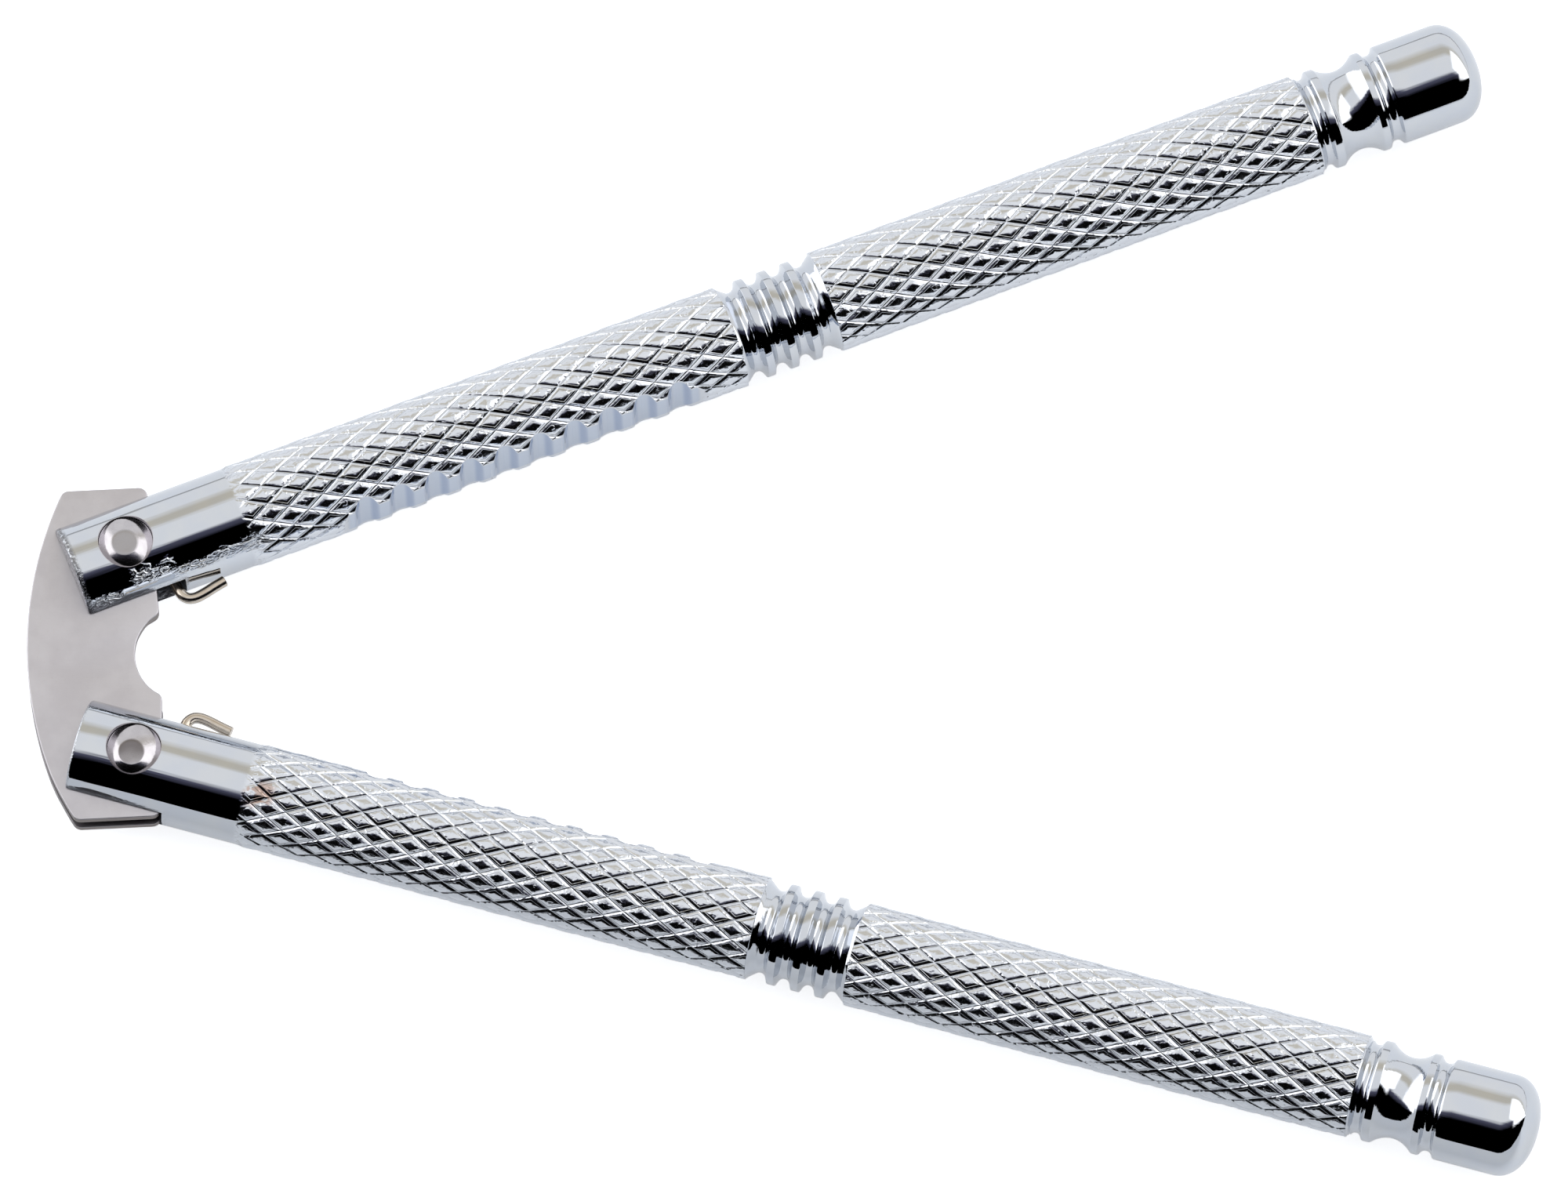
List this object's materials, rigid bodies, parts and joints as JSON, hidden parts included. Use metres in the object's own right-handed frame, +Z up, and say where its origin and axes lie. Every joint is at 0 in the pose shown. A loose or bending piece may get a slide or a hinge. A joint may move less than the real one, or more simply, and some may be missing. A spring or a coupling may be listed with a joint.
{
  "type": "nutcracker",
  "caption": "Spring-opened hand nutcracker: two knurled round rod handles with scalloped jaws, pivoted on rivets between stamped hinge plates.",
  "frame": {"origin": "middle of the underside of the whole object, lying flat on its two handles in the open rest pose", "axes": "+X from the hinge plates toward the handle tips along the middle line, +Y toward the upper handle, +Z up through the hinge plates along the rivets"},
  "size_m": [0.1442, 0.1198, 0.0102],
  "materials": {
    "handle_chrome": "bright chrome plate, diamond knurled grips",
    "plate_steel": "satin stamped sheet, bright tumbled edges",
    "rivet_steel": "smooth peened head with a flat top",
    "spring_wire": "drawn nickel-tinted wire, cut ends"
  },
  "bodies": {
    "hinge": {"front_plate": "plate_steel", "back_plate": "plate_steel", "upper_rivet": "rivet_steel", "lower_rivet": "rivet_steel", "spring": "spring_wire"},
    "upper_handle": {"upper_handle": "handle_chrome"},
    "lower_handle": {"lower_handle": "handle_chrome"}
  },
  "joints": [
    {"name": "upper_close", "type": "hinge", "parent": "hinge", "child": "upper_handle", "pos_m": [-0.06199, 0.0108, 0.0051], "axis": [0, 0, -1], "range_deg": [0, 21], "stiffness_Nm_per_rad": 0.3, "springref_deg": -20.05, "deforming": ["spring"]},
    {"name": "lower_close", "type": "hinge", "parent": "hinge", "child": "lower_handle", "pos_m": [-0.06199, -0.0108, 0.0051], "axis": [0, 0, 1], "range_deg": [0, 21], "stiffness_Nm_per_rad": 0.3, "springref_deg": -20.05, "deforming": ["spring"]}
  ]
}
